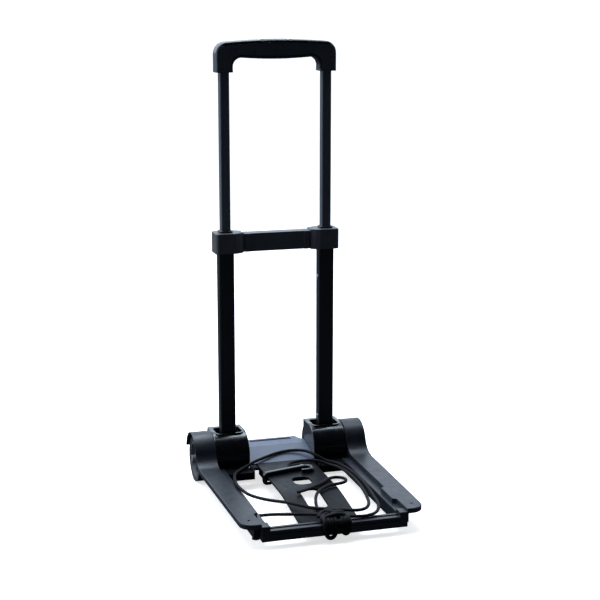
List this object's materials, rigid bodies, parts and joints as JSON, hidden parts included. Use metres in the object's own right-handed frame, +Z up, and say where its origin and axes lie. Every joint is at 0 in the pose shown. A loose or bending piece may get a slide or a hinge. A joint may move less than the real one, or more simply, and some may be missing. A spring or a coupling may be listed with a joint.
{
  "type": "folding luggage cart",
  "caption": "Folding luggage cart with a telescopic handle on tube pairs, a fold-up slotted platform, fendered wheels and an elastic tie cord.",
  "frame": {"origin": "on the floor, under the middle of the cart's footprint, measured without the elastic cord and its hook", "axes": "+Z up along the tubes, -Y towards the toe of the platform, +X to the right seen from the front"},
  "size_m": [0.3812, 0.4941, 0.94],
  "materials": {
    "moulded_black": "fine-textured black moulding with a cool grey sheen",
    "panel_grey": "slightly lighter satin moulding",
    "bracket_black": "satin black moulding",
    "gloss_black": "polished black moulding",
    "grip_black": "soft satin black",
    "button_black": "gloss black",
    "outer_tube_paint": "semi-gloss black powder coat",
    "inner_tube_paint": "satin graphite",
    "guide_nylon": "black nylon",
    "steel": "zinc plated",
    "spring_steel": "drawn spring wire",
    "screw_steel": "dark plated",
    "hub_grey": "light grey moulding",
    "tyre_rubber": "matt rubber",
    "foot_rubber": "matt rubber",
    "cord_braid": "braided black sleeve over an elastic core",
    "hook_plastic": "gloss black nylon"
  },
  "bodies": {
    "frame": {"left_socket": "gloss_black", "right_socket": "gloss_black", "left_outer_tube": "outer_tube_paint", "right_outer_tube": "outer_tube_paint", "mid_bracket": "bracket_black", "left_tube_guide": "guide_nylon", "right_tube_guide": "guide_nylon", "rear_panel": "panel_grey", "left_hinge_pin": "steel", "right_hinge_pin": "steel", "left_lock_bushes": "steel", "right_lock_bushes": "steel", "tube_screws": "screw_steel", "panel_screws": "screw_steel"},
    "platform": {"left_wing": "moulded_black", "right_wing": "moulded_black", "left_side_rail": "moulded_black", "right_side_rail": "moulded_black", "deck": "moulded_black", "front_bar": "moulded_black", "front_feet": "foot_rubber", "wing_screws": "screw_steel", "left_axle": "steel", "right_axle": "steel", "left_axle_cap": "hub_grey", "right_axle_cap": "hub_grey", "bungee_cord": "cord_braid", "bungee_tail": "cord_braid", "bungee_knot": "cord_braid", "bungee_hook": "hook_plastic"},
    "left_wheel": {"left_tyre": "tyre_rubber", "left_hub": "hub_grey"},
    "right_wheel": {"right_tyre": "tyre_rubber", "right_hub": "hub_grey"},
    "handle": {"left_inner_tube": "inner_tube_paint", "right_inner_tube": "inner_tube_paint", "left_guide_plug": "guide_nylon", "right_guide_plug": "guide_nylon", "left_plug_base": "guide_nylon", "right_plug_base": "guide_nylon", "grip_body": "grip_black", "grip_cap": "gloss_black", "grip_underside": "grip_black", "grip_screws": "screw_steel", "button_springs": "spring_steel", "left_lock_spring": "spring_steel", "right_lock_spring": "spring_steel"},
    "button": {"release_button": "button_black", "release_yoke": "guide_nylon", "left_push_rod": "steel", "right_push_rod": "steel"},
    "left_lock": {"left_lock_pin": "steel"},
    "right_lock": {"right_lock_pin": "steel"}
  },
  "joints": [
    {"name": "platform_fold", "type": "hinge", "parent": "frame", "child": "platform", "pos_m": [0, 0.18, 0.058], "axis": [-1, 0, 0], "range_deg": [0, 90]},
    {"name": "handle_slide", "type": "slide", "parent": "frame", "child": "handle", "axis": [0, 0, -1], "range_m": [0, 0.312]},
    {"name": "left_wheel_spin", "type": "hinge", "parent": "platform", "child": "left_wheel", "pos_m": [-0.1705, 0.182, 0.048], "axis": [1, 0, 0], "continuous": true},
    {"name": "right_wheel_spin", "type": "hinge", "parent": "platform", "child": "right_wheel", "pos_m": [0.1705, 0.182, 0.048], "axis": [1, 0, 0], "continuous": true},
    {"name": "button_press", "type": "slide", "parent": "handle", "child": "button", "axis": [0, 0, -1], "range_m": [0, 0.004], "stiffness_N_per_m": 1500, "springref_m": -0.004, "deforming": ["button_springs"]},
    {"name": "left_lock_slide", "type": "slide", "parent": "handle", "child": "left_lock", "axis": [-1, 0, 0], "range_m": [0, 0.004], "deforming": ["left_lock_spring"]},
    {"name": "right_lock_slide", "type": "slide", "parent": "handle", "child": "right_lock", "axis": [1, 0, 0], "range_m": [0, 0.004], "deforming": ["right_lock_spring"]}
  ],
  "couplings": [
    {"joint": "left_lock_slide", "follows": "button_press", "ratio": 1},
    {"joint": "right_lock_slide", "follows": "button_press", "ratio": 1}
  ]
}
